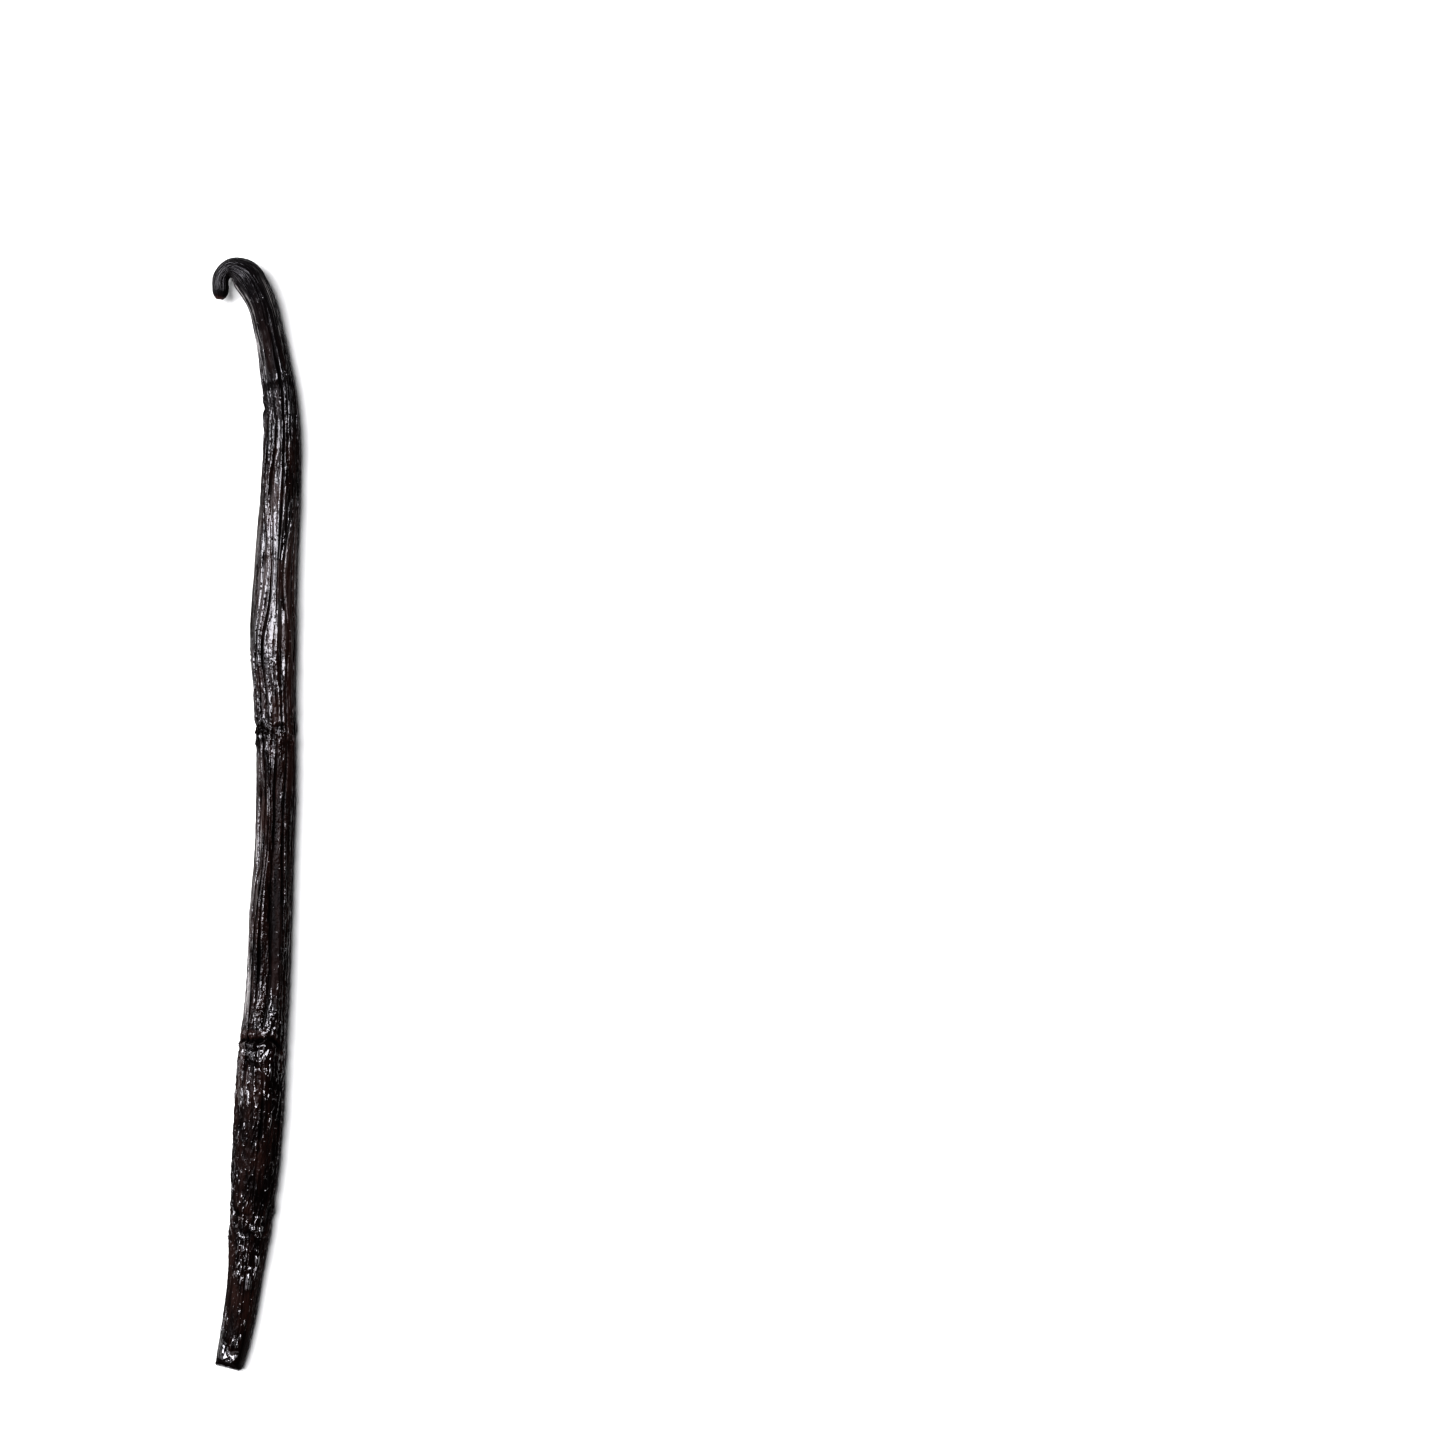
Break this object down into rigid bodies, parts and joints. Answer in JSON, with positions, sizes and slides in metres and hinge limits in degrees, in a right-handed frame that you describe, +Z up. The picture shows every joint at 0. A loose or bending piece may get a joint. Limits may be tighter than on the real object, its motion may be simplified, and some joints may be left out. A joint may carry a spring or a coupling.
{
  "type": "vanilla pod",
  "caption": "Long dark cured vanilla pod, flattened and furrowed along its length, with a hooked stalk end and a blunt blossom end; lies flat.",
  "frame": {"origin": "on the surface that the pod lies on, under the middle of its overall length and width", "axes": "+Z up, +Y along the pod from the cut blossom end to the hooked stalk end, +X to the right of it seen from above; the hook curls towards -X"},
  "size_m": [0.0136, 0.1748, 0.0055],
  "materials": {
    "cured_skin": "near-black brown, wrinkled, oily satin to gloss"
  },
  "bodies": {
    "root": {"vanilla_pod": "cured_skin"}
  },
  "joints": []
}
